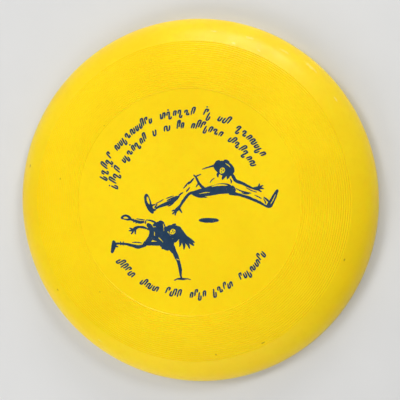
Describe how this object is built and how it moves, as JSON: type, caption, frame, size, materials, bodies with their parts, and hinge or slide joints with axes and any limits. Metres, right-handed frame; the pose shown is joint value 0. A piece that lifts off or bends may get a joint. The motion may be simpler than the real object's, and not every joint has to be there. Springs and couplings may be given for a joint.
{
  "type": "flying disc",
  "caption": "Solid throwing disc: slightly sunken plate with a navy screen print, a band of fine concentric flight ribs, rounded shoulder and deep lipped rim.",
  "frame": {"origin": "on the disc's axis, in the plane that its rim rests on", "axes": "+Z along the disc's axis, out of the printed side; +Y is the top of the print and +X its right"},
  "size_m": [0.26, 0.26, 0.0333],
  "materials": {
    "yellow_plastic": "semi-gloss moulded polyethylene, slightly translucent, with fine scratches and scuffs",
    "navy_ink": "thin screen-printing ink with a low satin sheen"
  },
  "bodies": {
    "root": {"balancer_free_arm": "navy_ink", "balancer_head": "navy_ink", "balancer_lower_leg": "navy_ink", "balancer_lower_shoe": "navy_ink", "balancer_shirt": "navy_ink", "balancer_shorts": "navy_ink", "balancer_support_arm": "navy_ink", "balancer_support_hand": "navy_ink", "balancer_upper_leg": "navy_ink", "balancer_upper_shoe": "navy_ink", "disc_body": "yellow_plastic", "inner_word_1": "navy_ink", "inner_word_2": "navy_ink", "inner_word_3": "navy_ink", "inner_word_4": "navy_ink", "inner_word_5": "navy_ink", "inner_word_6": "navy_ink", "inner_word_7": "navy_ink", "leaper_front_arm": "navy_ink", "leaper_front_leg": "navy_ink", "leaper_front_shoe": "navy_ink", "leaper_head": "navy_ink", "leaper_rear_arm": "navy_ink", "leaper_rear_leg": "navy_ink", "leaper_rear_shoe": "navy_ink", "leaper_shirt": "navy_ink", "leaper_shorts": "navy_ink", "lower_word_1": "navy_ink", "lower_word_2": "navy_ink", "lower_word_3": "navy_ink", "lower_word_4": "navy_ink", "lower_word_5": "navy_ink", "lower_word_6": "navy_ink", "outer_word_1": "navy_ink", "outer_word_2": "navy_ink", "outer_word_3": "navy_ink", "outer_word_4": "navy_ink", "outer_word_5": "navy_ink", "outer_word_6": "navy_ink", "small_disc": "navy_ink"}
  },
  "joints": []
}
